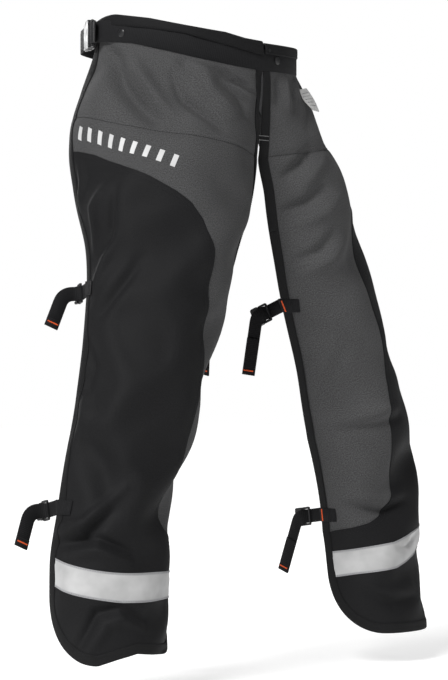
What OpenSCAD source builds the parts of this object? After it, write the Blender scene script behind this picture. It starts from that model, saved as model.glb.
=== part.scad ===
// Apron-style saw-protective leg chaps, standing open in an A stance as if worn.
// The wearer faces -Y, +X is the wearer's left, +Z is up, and the origin is the middle of the waist ring.

/* [Waist] */
// Half width of the waist ring (mm)
waist_half_width = 191; // [150:1:230]
// Half depth of the waist ring at the front (mm)
waist_half_depth = 168; // [130:1:200]
// How far the waist ring leans forward, as a slope
waist_lean = 0.265; // [0:0.005:0.4]
// Width of the belt webbing (mm)
belt_width = 38; // [25:1:50]
// Thickness of the belt webbing (mm)
belt_thick = 2.2; // [1.5:0.1:3]
// Height of the fabric waistband (mm)
waistband_height = 52; // [40:1:70]

/* [Legs] */
// Drop from the waist to the knee (mm)
knee_drop = 620; // [560:5:680]
// Drop from the waist to the hem (mm)
hem_drop = 1080; // [950:5:1150]
// Drop from the waist to where the rounded hem corners start (mm)
corner_drop = 975; // [900:5:1040]
// How far each rounded hem corner reaches round the leg (degrees)
corner_turn = 57; // [20:1:70]
// How far the pattern sits turned on the wearer (degrees)
pattern_turn = 9; // [0:1:15]

/* [Fabric] */
// Thickness of the outer fabric (mm)
shell_thick = 1.0; // [0.6:0.1:1.5]
// Thickness of the protective pad with its lining (mm)
pad_thick = 6.5; // [4:0.5:9]
// Thickness of the black overlay panel (mm)
overlay_thick = 0.8; // [0.5:0.1:1.2]
// Width of the edge binding on each face (mm)
binding_width = 12; // [8:0.5:16]
// Height of the reflective band (mm)
band_height = 47; // [30:1:60]

/* [Straps] */
// Width of the leg webbing (mm)
strap_width = 25; // [20:1:30]
// Thickness of the leg webbing (mm)
strap_thick = 1.6; // [1:0.1:2.2]
// Length that the loose tails hang down (mm)
tail_length = 112; // [60:2:160]

/* [Hidden] */
$fn = 32;

GREY = [0.3, 0.3, 0.31];
BLACK = [0.14, 0.14, 0.15];
WEB = [0.1, 0.1, 0.11];
PLASTIC = [0.06, 0.06, 0.07];
SILVER = [0.74, 0.74, 0.76];
PADDING = [0.55, 0.53, 0.48];
LABEL = [0.93, 0.93, 0.92];
THREAD = [0.5, 0.5, 0.5];

// One row per level: drop, centre x, centre y, half width, half depth, inner edge and outer edge in degrees
// from straight ahead, positive towards the outside of the leg.
LEVELS = [
  [0, 0, 0, waist_half_width, waist_half_depth, 0, 122],
  [55, 3, 0, waist_half_width - 1, waist_half_depth + 1, 0, 118],
  [130, 50, 2, 178, 174, 0, 112],
  [200, 90, -13, 172, 170, -30.2, 117],
  [300, 130, -47, 157, 157, -45, 117],
  [400, 166, -84, 134, 134, -61, 115],
  [500, 203, -104, 120, 120, -74, 112],
  [600, 240, -115, 111, 111, -83, 109],
  [700, 268, -118, 108, 108, -88, 107],
  [780, 294, -114, 103, 103, -93, 102],
  [850, 314, -110, 100, 100, -94, 98],
  [930, 322, -113, 102, 102, -88, 103],
  [1080, 330, -124, 101, 101, -88, 104]];
LAST = len(LEVELS) - 1;

// Front edge of the black overlay: drop, degrees from straight ahead
OVERLAY_EDGE = [[228, 114], [236, 90], [254, 70], [280, 50], [305, 34], [325, 24], [350, 16], [400, 8],
  [480, 5], [560, 0], [620, -6], [700, -9], [780, -14], [830, -15], [850, -19], [870, -28], [883, -40],
  [891, -56], [897, -74], [903, -88]];

function row_at(h, i = 0) = i >= LAST - 1 || h < LEVELS[i + 1][0] ? i : row_at(h, i + 1);
function hermite(a, b, ma, mb, t) = (2 * t ^ 3 - 3 * t ^ 2 + 1) * a + (t ^ 3 - 2 * t ^ 2 + t) * ma
  + (3 * t ^ 2 - 2 * t ^ 3) * b + (t ^ 3 - t ^ 2) * mb;
function level(h) = let (
  i = row_at(h), p = LEVELS[i], q = LEVELS[i + 1], w = q[0] - p[0], t = (h - p[0]) / w,
  o = i > 0 ? LEVELS[i - 1] : p, r = i + 2 <= LAST ? LEVELS[i + 2] : q,
  ma = (q - o) / (q[0] - o[0]) * w, mb = (r - p) / (r[0] - p[0]) * w
) hermite(p, q, ma, mb, t);
function edge_front(h) = lookup(h, OVERLAY_EDGE);

// Which leg is being made: both() sets it
$left = 0;
// How high the waist ring stands: it leans forward in front, less on the left, and is level behind
function ring_lift(y, left) = let (k = left * 18 / waist_half_depth, slope = waist_lean - k)
  18 - left * 18 + slope * (y < 0 ? y : 20 * (1 - exp(-y / 20)));
// The lift fades out down the leg
function fade(h) = h < 52 ? 1 : pow(max(0, 1 - (h - 52) / 300), 2);
// A point on the left leg's surface: drop, degrees round, distance outwards
function surf(h, a, d = 0) = let (
  s = level(h), y = s[2] - (s[4] + d) * cos(a)
) [s[1] + (s[3] + d) * sin(a), y, -h + ring_lift(y, $left) * fade(h)];

function corner(h) = h > corner_drop
  ? corner_turn * (1 - sqrt(max(0, 1 - pow((h - corner_drop) / (hem_drop - corner_drop), 2)))) : 0;
// The two sides stand a little further apart towards the crotch
function centre_gap(h) = 2.4 + 1.1 * min(1, max(0, (h - 100) / 100));
function beside_centre(h) = let (s = level(h)) -asin(min(1, max(0, s[1] - centre_gap(h)) / s[3]));
function inner(h) = (h < 200 ? beside_centre(h) + (level(h)[1] < 2.4 ? 0.8 : 0)
  : max(level(h)[5], beside_centre(h))) + corner(h);
function outer(h) = level(h)[6] - corner(h);
function across(h, u) = inner(h) + u * (outer(h) - inner(h));
// The stitched seam where the pad starts, higher towards the outside
function seam(u) = 174 + 54 * pow(max(0, 1 - u / 0.95), 1.3);
// Levels down the shin, close together round the hem corners
function shin_levels(top) = concat([for (i = [0:7]) top + (corner_drop - top) * i / 8],
  [for (t = [0:15:90]) corner_drop + (hem_drop - corner_drop) * sin(t)]);

// A closed sheet from a grid of [drop, degrees] points, between two distances outwards
module sheet(grid, d0, d1) {
  nr = len(grid);
  nc = len(grid[0]);
  n = nr * nc;
  pts = concat([for (r = grid) for (q = r) surf(q[0], q[1], d0)], [for (r = grid) for (q = r) surf(q[0], q[1], d1)]);
  function at(i, j, k) = k * n + i * nc + j;
  polyhedron(pts, concat(
    [for (i = [0:nr - 2]) for (j = [0:nc - 2]) for (t = [0, 1]) t == 0
      ? [at(i, j, 0), at(i + 1, j, 0), at(i + 1, j + 1, 0)] : [at(i, j, 0), at(i + 1, j + 1, 0), at(i, j + 1, 0)]],
    [for (i = [0:nr - 2]) for (j = [0:nc - 2]) for (t = [0, 1]) t == 0
      ? [at(i, j, 1), at(i, j + 1, 1), at(i + 1, j + 1, 1)] : [at(i, j, 1), at(i + 1, j + 1, 1), at(i + 1, j, 1)]],
    [for (j = [0:nc - 2]) each quad(at(0, j, 0), at(0, j + 1, 0), at(0, j + 1, 1), at(0, j, 1))],
    [for (j = [0:nc - 2]) each quad(at(nr - 1, j + 1, 0), at(nr - 1, j, 0), at(nr - 1, j, 1), at(nr - 1, j + 1, 1))],
    [for (i = [0:nr - 2]) each quad(at(i + 1, 0, 0), at(i, 0, 0), at(i, 0, 1), at(i + 1, 0, 1))],
    [for (i = [0:nr - 2]) each quad(at(i, nc - 1, 0), at(i + 1, nc - 1, 0), at(i + 1, nc - 1, 1), at(i, nc - 1, 1))]));
}
function quad(a, b, c, d) = [[a, b, c], [a, c, d]];

// A closed bar from a list of rings, each ring the same number of points
module loft(rings) {
  n = len(rings[0]);
  m = len(rings);
  polyhedron([for (r = rings) each r], concat(
    [for (i = [0:m - 2]) for (j = [0:n - 1]) let (k = (j + 1) % n)
      each quad(i * n + j, i * n + k, (i + 1) * n + k, (i + 1) * n + j)],
    [[for (j = [n - 1:-1:0]) j]], [[for (j = [0:n - 1]) (m - 1) * n + j]]));
}

// Inward direction of an outline of [drop, degrees] points, as [drop mm, degrees] per mm
function inward(path, i) = let (
  a = path[max(0, i - 1)], b = path[min(len(path) - 1, i + 1)], k = PI / 180 * level(path[i][0])[3],
  dq = (b[1] - a[1]) * k, dh = b[0] - a[0], l = norm([dq, dh])
) [-dq / l, dh / l / k];
// A U of binding folded over an edge: low and high are the faces that it clips over
module bind(path, low, high) {
  u = [[binding_width, high + 0.8], [-1.3, high + 0.8], [-1.3, low - 0.8], [binding_width, low - 0.8],
    [binding_width, low], [-0.4, low], [-0.4, high], [binding_width, high]];
  loft([for (i = [0:len(path) - 1]) let (w = inward(path, i))
    [for (p = u) surf(path[i][0] + w[0] * p[0], path[i][1] + w[1] * p[0], p[1])]]);
}

module both(side) {
  $left = side == "left" ? 1 : 0;
  if (side == "right") mirror([1, 0, 0]) children();
  else children();
}
function turn(side) = side == "right" ? -pattern_turn : pattern_turn;

// ---- legs ----
PAD_LOW = -shell_thick - 0.3 - pad_thick;
// The black overlay's two faces
LOW = 0.6;
HIGH = LOW + overlay_thick;
function upper_grid() = [for (v = [0:1 / 6:1.001]) [for (u = [0:1 / 20:1.001])
  let (h = 53 + v * (seam(u) - 0.6 - 53)) [h, across(h, u)]]];
function thigh_grid() = [for (v = [-1:12]) [for (u = [0:1 / 22:1.001])
  let (top = seam(u) + 10, h = v < 0 ? seam(u) + 0.6 : top + v / 12 * (knee_drop - 0.6 - top)) [h, across(h, u)]]];
function but_first(rows) = [for (i = [1:len(rows) - 1]) rows[i]];
function shin_grid(top) = [for (h = shin_levels(top)) [for (u = [0:1 / 22:1.001]) [h, across(h, u)]]];
function overlay_from(h, side) = max(inner(h), min(outer(h) - 5,
  edge_front(h) + turn(side) * min(1, max(0, (h - 240) / 110)) * min(1, max(0, (890 - h) / 80))));
function overlay_grid(hs, side, n) = [for (h = hs) [for (j = [0:n])
  [h, overlay_from(h, side) + j / n * (outer(h) - overlay_from(h, side))]]];

module thigh_shell(side) color(GREY) both(side) sheet(thigh_grid(), -shell_thick, 0);
// The padding stops just short of the seam, clear of the upper panel's binding
module thigh_pad(side) color(PADDING) both(side)
  sheet(but_first(thigh_grid()), PAD_LOW, -shell_thick - 0.3);
module thigh_overlay(side) color(BLACK) both(side) sheet(overlay_grid(
  [232, 237, 245, 254, 266, 280, 292, 305, 315, 325, 337, 350, 375, 400, 440, 480, 520, 560, 590,
    knee_drop - 0.6], side, 14), LOW, HIGH);
module shin_shell(side) color(GREY) both(side) sheet(shin_grid(knee_drop + 0.6), -shell_thick, 0);
module shin_pad(side) color(PADDING) both(side)
  sheet(shin_grid(knee_drop + 0.6), PAD_LOW, -shell_thick - 0.3);
module shin_overlay(side) color(BLACK) both(side) sheet(overlay_grid(concat(
  [knee_drop + 0.6, 660, 700, 740, 780, 810, 830, 840, 850, 860, 870, 876, 883, 891, 897, 903, 940],
  [for (t = [0:15:90]) corner_drop + (hem_drop - corner_drop) * sin(t)]), side, 20), LOW, HIGH);

module thigh_binding(side) color(BLACK) both(side) {
  for (u = [0, 1]) {
    hs = [for (v = [0:1 / 14:1.001]) seam(u) + 0.6 + v * (knee_drop - 1.2 - seam(u))];
    bind([for (i = [0:14]) let (h = hs[u == 0 ? i : 14 - i]) [h, across(h, u)]], PAD_LOW - 0.3, HIGH + 0.4);
  }
}
module shin_binding(side) color(BLACK) both(side) {
  hs = shin_levels(knee_drop + 0.6);
  n = len(hs);
  bind(concat([for (i = [0:n - 1]) [hs[i], across(hs[i], 0)]],
    [for (u = [0.2:0.2:0.81]) [hem_drop, across(hem_drop, u)]],
    [for (i = [n - 1:-1:0]) [hs[i], across(hs[i], 1)]]), PAD_LOW - 0.3, HIGH + 0.4);
}
module reflective_band(side) color(SILVER) both(side) {
  lo = inner(940) + 7.5;
  hi = outer(940) - 7.5;
  sheet([for (k = [0, 1 / 3, 2 / 3, 1]) [for (u = [0:1 / 22:1.001]) let (a = lo + u * (hi - lo))
    [938 - 30 * pow(max(0, a / 105), 2) + k * band_height, a]]], HIGH + 0.4, HIGH + 0.9);
}
// The sewn ends of two straps, each a flat patch of webbing lying over the binding
module anchor(h, u) {
  e = across(h, u);
  s = u == 0 ? 1 : -1;
  rows = [for (v = [-1:0.5:1]) [for (w = [-2:5:28]) [h + v * strap_width / 2, e + s * w / level(h)[3] * 57.3]]];
  flip = [for (r = rows) [for (j = [len(r) - 1:-1:0]) r[j]]];
  sheet(u == 0 ? rows : flip, HIGH + 1.6, HIGH + 2.8);
}
module thigh_anchors(side) color(WEB) both(side) {
  anchor(490, 0);
  anchor(468, 1);
}
module shin_anchors(side) color(WEB) both(side) {
  anchor(869, 0);
  anchor(832, 1);
}

// ---- waist ----
module upper_panel(side) color(GREY) both(side) sheet(upper_grid(), -shell_thick, 0);
module upper_binding(side) color(BLACK) both(side) {
  for (u = [0, 1]) {
    hs = [for (v = [0:1 / 6:1.001]) 53 + v * (seam(u) - (u == 0 ? 9 : 0.6) - 53)];
    bind([for (i = [0:6]) let (h = hs[u == 0 ? i : 6 - i]) [h, across(h, u)]], -shell_thick - 0.3, 0.3);
  }
}
// The waistband: a band behind the webbing, folded over at the top so that its front flap covers the webbing's top edge
function band_top(a) = a < 60 ? 0 : 13 * pow((a - 60) / 60, 2);
module waistband(side) color(BLACK) both(side) {
  loft([for (a = [0.9:4:113.1]) let (t = band_top(a))
    [for (p = [[-3, 52], [-3, t - 1], [3.5, t - 1], [3.5, 22], [2.7, 22], [2.7, t + 0.4], [-0.3, t + 0.4], [-0.3, 52]])
      surf(p[1], a, p[0])]]);
}
// Belt webbing along a plan path of [x, y] points on the leaning ring
function to_left(x) = let (t = min(1, max(0, (x + 100) / 200))) t * t * (3 - 2 * t);
function ring_z(x, y, h) = -h + ring_lift(y, to_left(x));
module webbing(path, t = belt_thick, w = belt_width, mid = 33) {
  m = len(path);
  loft([for (i = [0:m - 1]) let (
    d = path[min(m - 1, i + 1)] - path[max(0, i - 1)], n = [d[1], -d[0]] / norm(d) * t / 2,
    a = path[i] + n, b = path[i] - n, z = ring_z(path[i][0], path[i][1], mid)
  ) [[a[0], a[1], z - w / 2], [b[0], b[1], z - w / 2], [b[0], b[1], z + w / 2], [a[0], a[1], z + w / 2]]]);
}
// The belt buckle sits on a straight run of belt at the right rear hip
BC = [-169.2, 99.2];
BT = [0.549, 0.836];
BN = [-0.836, 0.549];
BZ = ring_z(BC[0], BC[1], 33);
function along(s, n = 0) = BC + s * BT + n * BN;
module at_buckle() translate([BC[0], BC[1], BZ]) rotate([0, 0, atan2(BT[1], BT[0])]) children();
function waist_pt(a, d) = [(waist_half_width + d) * sin(a), -(waist_half_depth + d) * cos(a)];
function bezier(a, b, c, d, t) = (1 - t) ^ 3 * a + 3 * (1 - t) ^ 2 * t * b + 3 * (1 - t) * t ^ 2 * c + t ^ 3 * d;

module belt_front() color(WEB) {
  webbing(concat([for (a = [108:-4:-92]) waist_pt(a, 1.3)],
    [[-194.5, 28], along(-50, -3.4), along(-44, -3.4), along(-37, -3.4)]));
  webbing([along(-66, -1.3), along(-54, -1.3), along(-45, 2.4), along(-37, 3.4)]);
  webbing([along(-36.6, -4.4), along(-34.4, -3.4), along(-33.6, 0), along(-34.4, 3.4), along(-36.6, 4.4)]);
}
module belt_back() color(WEB) {
  webbing(concat([along(61), along(80), along(99)],
    [for (t = [0.1:0.1:1]) bezier(along(99), along(170), [122, 200], [waist_pt(109, 1.3)[0], waist_pt(109, 1.3)[1]], t)]));
}
module belt_loop() color(WEB) {
  webbing([along(29.5, -3.4), along(50, -3.4), along(72, -3.4)]);
  webbing([along(29.5, 3.4), along(50, 3.4), along(72, 3.4)]);
  webbing([along(29.1, -4.4), along(27.2, -3.4), along(26.4, 0), along(27.2, 3.4), along(29.1, 4.4)]);
}
// A slider that doubles the back belt: a frame that the webbing runs through
module belt_slider() color(PLASTIC) {
  a = bezier(along(99), along(170), [122, 200], waist_pt(109, 1.3), 0.5);
  b = bezier(along(99), along(170), [122, 200], waist_pt(109, 1.3), 0.54);
  d = b - a;
  translate([(a[0] + b[0]) / 2, (a[1] + b[1]) / 2, ring_z((a[0] + b[0]) / 2, (a[1] + b[1]) / 2, 33)])
    rotate([0, 0, atan2(d[1], d[0])]) difference() {
      rotate([90, 0, 0]) linear_extrude(7, center = true) rounded(24, 48, 4);
      cube([40, 3.6, 40.6], center = true);
    }
}
module rounded(x, y, r) hull() for (i = [-1, 1]) for (j = [-1, 1])
  translate([i * (x / 2 - r), j * (y / 2 - r)]) circle(r);

module waist_buckle_socket() color(PLASTIC) at_buckle() difference() {
  union() {
    translate([-16, 0, 0]) rotate([90, 0, 0]) linear_extrude(13, center = true) rounded(32, 50, 6);
    translate([-37, 0, 0]) rotate([90, 0, 0]) linear_extrude(4, center = true) rounded(14, 48, 3);
  }
  translate([-10.5, 0, 0]) cube([28, 8, 40], center = true);
  translate([-34.4, 0, 0]) cube([5.2, 20, 39.6], center = true);
  for (s = [-1, 1]) translate([-14, 0, s * 23]) cube([14, 8, 12], center = true);
}
module waist_buckle_clip() color(PLASTIC) at_buckle() difference() {
  union() {
    translate([12, 0, 0]) rotate([90, 0, 0]) linear_extrude(12, center = true) rounded(20, 48, 4);
    translate([26.5, 0, 0]) rotate([90, 0, 0]) linear_extrude(4, center = true) rounded(13, 48, 3);
    translate([-7, 0, 0]) cube([22, 4, 6], center = true);
  }
  translate([26.4, 0, 0]) cube([4.6, 20, 39.6], center = true);
}
module waist_prong(s) color(PLASTIC) at_buckle() rotate([90, 0, 0]) linear_extrude(6, center = true)
  polygon([for (p = [[1.6, 9], [1.6, 14], [-6, 16], [-9, 19.4], [-16, 19.4], [-20, 15], [-20, 12],
    [-8, 11.5]]) [p[0], s * p[1]]]);

module snap(h, a, side) both(side) {
  p = surf(h, a, 3.0);
  translate(p) rotate([0, 0, a]) rotate([90, 0, 0]) children();
}
module snap_caps() color(PLASTIC) {
  for (q = [[33, 86, "right"], [33, 11, "left"], [33, 92, "left"]]) snap(q[0], q[1], q[2])
    rotate_extrude() polygon([[0, 0], [7, 0], [7.2, 0.8], [5.5, 2.2], [2.5, 2.8], [0, 2.9]]);
  snap(17, 4, "left") translate([0, 0, 0.8]) cylinder(h = 1.4, r = 3.2);
}
module snap_studs() color([0.4, 0.4, 0.42]) {
  for (q = [[33, 86, "right"], [33, 11, "left"], [33, 92, "left"]]) snap(q[0], q[1], q[2])
    translate([0, 0, -8]) cylinder(h = 1.7, r = 6);
}
module care_label() color(LABEL)
  sheet([for (h = [80:10:122]) [for (a = [42:3:52]) [h, a]]], 0.3, 0.8);
module crotch_bartack() color(THREAD) for (h = [187, 195]) for (side = ["right", "left"]) both(side)
  loft([for (x = [0.02, 5, 10]) let (y = surf(h, inner(h) + x / 3, 1.8)[1], z = surf(h, inner(h), 0)[2])
    [[x, y - 1.2, z - 1], [x, y - 1.2, z + 1], [x, y, z + 1], [x, y, z - 1]]]);

// ---- leg straps ----
// Each strap hangs from its leg's edge, 6 mm outside it. Local X runs on round the leg and droops.
module at_edge(h, u, droop) {
  a = across(h, u);
  s = u == 0 ? -1 : 1;
  translate(surf(h, a + s * 6 / level(h)[3] * 57.3, 1)) rotate([0, 0, u == 0 ? 180 + a : a])
    rotate([0, droop, 0]) children();
}
// A ribbon of webbing along [point, width direction] pairs
module ribbon(path) {
  m = len(path);
  function flat(i) = let (t = path[min(m - 1, i + 1)][0] - path[max(0, i - 1)][0], n = cross(t, path[i][1]))
    n / norm(n) * strap_thick / 2;
  loft([for (i = [0:m - 1]) let (p = path[i][0], w = path[i][1] * strap_width / 2, n = flat(i))
    [p - w - n, p - w + n, p + w + n, p + w - n]]);
}
// The tail turns down in its own plane as it leaves the buckle
module inner_strap(turned) color(WEB) {
  r = 15;
  ribbon(concat([for (q = [[1, -2.8], [14, -2.8], [27, -2.8], [31, -0.4], [34, 3], [37, 5.6]])
    [[q[0], q[1], 0], [0, 0, 1]]],
    [for (k = [0:6]) let (t = k / 6 * turned) [[40 + r * sin(t), 6, r * cos(t) - r], [sin(t), 0, cos(t)]]],
    [for (l = [0.5, 1] * (tail_length - r)) [[40 + r * sin(turned) + l * cos(turned), 6 + l / 30,
      r * cos(turned) - r - l * sin(turned)], [sin(turned), 0, cos(turned)]]]));
}
module outer_strap() color(WEB) {
  r = 24;
  ribbon(concat([for (q = [[1, 2.8], [14, 2.8], [27, 2.8], [31, 0.4], [34, -3], [36, -8]])
    [[q[0], q[1], 0], [0, 0, 1]]],
    [for (t = [0:13:65]) [[36.5, -13 - r * sin(t), r * cos(t) - r], [0, -sin(t), cos(t)]]],
    [for (l = [24, 50]) [[36.5 - l / 20, -13 - r * sin(65) - l * cos(65), r * cos(65) - r - l * sin(65)],
      [0, -sin(65), cos(65)]]]));
}
module buckle_frame() difference() {
  translate([33, 0, 0]) rotate([90, 0, 0]) linear_extrude(3, center = true) rounded(18, 34, 3);
  translate([31.5, 0, 0]) cube([9, 10, 26], center = true);
}
module female_buckle() color(PLASTIC) {
  buckle_frame();
  difference() {
    translate([49, 0, 0]) rotate([90, 0, 0]) linear_extrude(8.4, center = true) rounded(17, 34, 4);
    translate([52, 0, 0]) cube([16, 5, 27], center = true);
    for (s = [-1, 1]) translate([49.5, 0, s * 15]) cube([7, 5, 8], center = true);
  }
}
module male_buckle() color(PLASTIC) {
  buckle_frame();
  translate([43.5, 0, 0]) rotate([90, 0, 0]) linear_extrude(7, center = true) rounded(6, 30, 2);
  translate([52, 0, 0]) cube([14, 3, 4], center = true);
  for (s = [-1, 1]) rotate([90, 0, 0]) linear_extrude(4, center = true)
    polygon([for (p = [[46, 7.5], [46, 11], [51, 11.5], [53, 13.2], [58, 13], [60.5, 10], [60, 8.5]]) [p[0], s * p[1]]]);
}
module knee_inner_strap(side) both(side) at_edge(490, 0, 24) inner_strap(58);
module knee_inner_buckle(side) both(side) at_edge(490, 0, 24) female_buckle();
module knee_outer_strap(side) both(side) at_edge(468, 1, 12) outer_strap();
module knee_outer_buckle(side) both(side) at_edge(468, 1, 12) male_buckle();
module calf_inner_strap(side) both(side) at_edge(869, 0, 8) inner_strap(63);
module calf_inner_buckle(side) both(side) at_edge(869, 0, 8) female_buckle();
module calf_outer_strap(side) both(side) at_edge(832, 1, 12) outer_strap();
module calf_outer_buckle(side) both(side) at_edge(832, 1, 12) male_buckle();

belt_front();
belt_back();
belt_slider();
waistband("right");  // waistband_right
waistband("left");  // waistband_left
upper_panel("right");  // upper_panel_right
upper_panel("left");  // upper_panel_left
upper_binding("right");  // upper_binding_right
upper_binding("left");  // upper_binding_left
crotch_bartack();
snap_caps();
snap_studs();
care_label();
waist_buckle_socket();
waist_buckle_clip();
waist_prong(1);  // waist_prong_top
waist_prong(-1);  // waist_prong_bottom
belt_loop();
thigh_shell("right");  // thigh_shell_right
thigh_pad("right");  // thigh_pad_right
thigh_overlay("right");  // thigh_overlay_right
thigh_binding("right");  // thigh_binding_right
thigh_anchors("right");  // thigh_anchors_right
shin_shell("right");  // shin_shell_right
shin_pad("right");  // shin_pad_right
shin_overlay("right");  // shin_overlay_right
shin_binding("right");  // shin_binding_right
shin_anchors("right");  // shin_anchors_right
reflective_band("right");  // reflective_band_right
thigh_shell("left");  // thigh_shell_left
thigh_pad("left");  // thigh_pad_left
thigh_overlay("left");  // thigh_overlay_left
thigh_binding("left");  // thigh_binding_left
thigh_anchors("left");  // thigh_anchors_left
shin_shell("left");  // shin_shell_left
shin_pad("left");  // shin_pad_left
shin_overlay("left");  // shin_overlay_left
shin_binding("left");  // shin_binding_left
shin_anchors("left");  // shin_anchors_left
reflective_band("left");  // reflective_band_left
knee_inner_strap("right");  // knee_inner_strap_right
knee_inner_buckle("right");  // knee_inner_buckle_right
knee_outer_strap("right");  // knee_outer_strap_right
knee_outer_buckle("right");  // knee_outer_buckle_right
calf_inner_strap("right");  // calf_inner_strap_right
calf_inner_buckle("right");  // calf_inner_buckle_right
calf_outer_strap("right");  // calf_outer_strap_right
calf_outer_buckle("right");  // calf_outer_buckle_right
knee_inner_strap("left");  // knee_inner_strap_left
knee_inner_buckle("left");  // knee_inner_buckle_left
knee_outer_strap("left");  // knee_outer_strap_left
knee_outer_buckle("left");  // knee_outer_buckle_left
calf_inner_strap("left");  // calf_inner_strap_left
calf_inner_buckle("left");  // calf_inner_buckle_left
calf_outer_strap("left");  // calf_outer_strap_left
calf_outer_buckle("left");  // calf_outer_buckle_left
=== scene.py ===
"""Looks for the saw-protective leg chaps: cloth, binding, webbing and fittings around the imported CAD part."""
import math

import bmesh
import bpy
import numpy as np
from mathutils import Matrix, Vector


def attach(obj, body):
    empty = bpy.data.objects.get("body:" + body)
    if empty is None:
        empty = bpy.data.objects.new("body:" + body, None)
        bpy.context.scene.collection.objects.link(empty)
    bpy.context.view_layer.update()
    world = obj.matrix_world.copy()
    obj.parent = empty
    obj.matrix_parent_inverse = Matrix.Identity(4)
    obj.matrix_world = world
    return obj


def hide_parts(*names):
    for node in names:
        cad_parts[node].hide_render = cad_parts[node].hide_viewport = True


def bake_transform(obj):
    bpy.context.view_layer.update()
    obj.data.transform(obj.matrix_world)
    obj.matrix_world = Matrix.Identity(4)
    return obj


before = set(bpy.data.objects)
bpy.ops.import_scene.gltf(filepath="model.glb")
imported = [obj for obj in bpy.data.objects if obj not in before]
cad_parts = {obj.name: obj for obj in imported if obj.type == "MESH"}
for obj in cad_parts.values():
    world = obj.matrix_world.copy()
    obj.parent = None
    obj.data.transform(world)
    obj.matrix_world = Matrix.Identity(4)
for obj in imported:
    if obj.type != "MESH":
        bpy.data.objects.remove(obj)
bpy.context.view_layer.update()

SCENE = bpy.context.scene
MM = 0.001
RIGHT, LEFT = -1, 1
SIDES = {RIGHT: "right", LEFT: "left"}

# ---- the pattern, the same surface as the CAD
# drop below the waist, centre x, centre y, half width, half depth, inner edge, outer edge (mm and degrees)
LEVELS = np.array([
    [0, 0, 0, 191, 168, 0, 122],
    [55, 3, 0, 190, 169, 0, 118],
    [130, 50, 2, 178, 174, 0, 112],
    [200, 90, -13, 172, 170, -30.2, 117],
    [300, 130, -47, 157, 157, -45, 117],
    [400, 166, -84, 134, 134, -61, 115],
    [500, 203, -104, 120, 120, -74, 112],
    [600, 240, -115, 111, 111, -83, 109],
    [700, 268, -118, 108, 108, -88, 107],
    [780, 294, -114, 103, 103, -93, 102],
    [850, 314, -110, 100, 100, -94, 98],
    [930, 322, -113, 102, 102, -88, 103],
    [1080, 330, -124, 101, 101, -88, 104]], float)
OVERLAY_EDGE = np.array([
    [228, 114], [236, 90], [254, 70], [280, 50], [305, 34], [325, 24], [350, 16], [400, 8],
    [480, 5], [560, 0], [620, -6], [700, -9], [780, -14], [830, -15], [850, -19], [870, -28],
    [883, -40], [891, -56], [897, -74], [903, -88]], float)
WAIST_W, WAIST_D, LIFT, LEAN = 191, 168, 18, 0.265
TOP, SPLIT, CORNER, HEM = 43, 360, 975, 1080
CORNER_TURN = 57
# how many degrees each leg has turned its overlay edge, at each drop
PATTERN_TURN = {
    RIGHT: [(340, 0), (400, -3), (480, -9), (540, -13), (640, -15), (720, -8), (800, -8), (890, 0)],
    LEFT: [(240, 0), (350, 9), (810, 9), (890, 0)]}


def level(h):
    """The section at each drop: columns centre x, centre y, half width, half depth, inner, outer."""
    h = np.asarray(h, float)
    n = len(LEVELS) - 1
    i = np.clip(np.searchsorted(LEVELS[:, 0], h, side="right") - 1, 0, n - 1)
    p, q = LEVELS[i], LEVELS[i + 1]
    o, r = LEVELS[np.maximum(i - 1, 0)], LEVELS[np.minimum(i + 2, n)]
    w = (q[..., 0] - p[..., 0])
    t = ((h - p[..., 0]) / w)[..., None]
    ma = (q - o) * (w / (q[..., 0] - o[..., 0]))[..., None]
    mb = (r - p) * (w / (r[..., 0] - p[..., 0]))[..., None]
    v = ((2 * t ** 3 - 3 * t ** 2 + 1) * p + (t ** 3 - 2 * t ** 2 + t) * ma
         + (3 * t ** 2 - 2 * t ** 3) * q + (t ** 3 - t ** 2) * mb)
    return v[..., 1:]


def fade(h):
    return np.where(h < 52, 1.0, np.maximum(0, 1 - (h - 52) / 300) ** 2)


def ring_lift(y, left):
    """How high the waist ring stands: it leans forward in front, less on the left, and is level behind."""
    lift, y = LIFT * (1 - left), np.asarray(y, float)
    return lift + (LEAN - left * LIFT / WAIST_D) * np.where(y < 0, y, 20 * (1 - np.exp(-y / 20)))


def surf(h, a, d=0.0, left=0.0):
    """A point of the plain left-leg surface: drop, degrees round from the front, distance outwards."""
    h, a = np.asarray(h, float), np.radians(np.asarray(a, float))
    s = level(h)
    y = s[..., 1] - (s[..., 3] + d) * np.cos(a)
    z = -h + ring_lift(y, left) * fade(h)
    return np.stack([s[..., 0] + (s[..., 2] + d) * np.sin(a), y, z], -1)


def corner(h):
    t = np.clip((h - CORNER) / (HEM - CORNER), 0, 1)
    return CORNER_TURN * (1 - np.sqrt(np.maximum(0, 1 - t ** 2)))


def inner(h):
    h = np.asarray(h, float)
    s = level(h)
    gap = 2.4 + 1.1 * np.clip((h - 100) / 100, 0, 1)
    by_centre = -np.degrees(np.arcsin(np.clip((s[..., 0] - gap) / s[..., 2], 0, 1)))
    return np.where(h < 200, by_centre, np.maximum(s[..., 4], by_centre)) + corner(h)


def outer(h):
    return level(h)[..., 5] - corner(h)


def across(h, u):
    return inner(h) + u * (outer(h) - inner(h))


def seam(u):
    return 174 + 54 * np.maximum(0, 1 - u / 0.95) ** 1.3


def smooth(x, lo, hi):
    t = np.clip((x - lo) / (hi - lo), 0, 1)
    return t * t * (3 - 2 * t)


def length(v):
    return np.linalg.norm(v, axis=-1, keepdims=True)


def unit(v):
    return v / length(v)


def look_up(table, x):
    table = np.array(table, float)
    return np.interp(x, table[:, 0], table[:, 1])


def hem_corner(n):
    """Drops down the rounded hem corner, closer together near the hem."""
    return CORNER + (HEM - CORNER) * np.sin(np.linspace(0, math.pi / 2, n)[1:])


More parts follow.
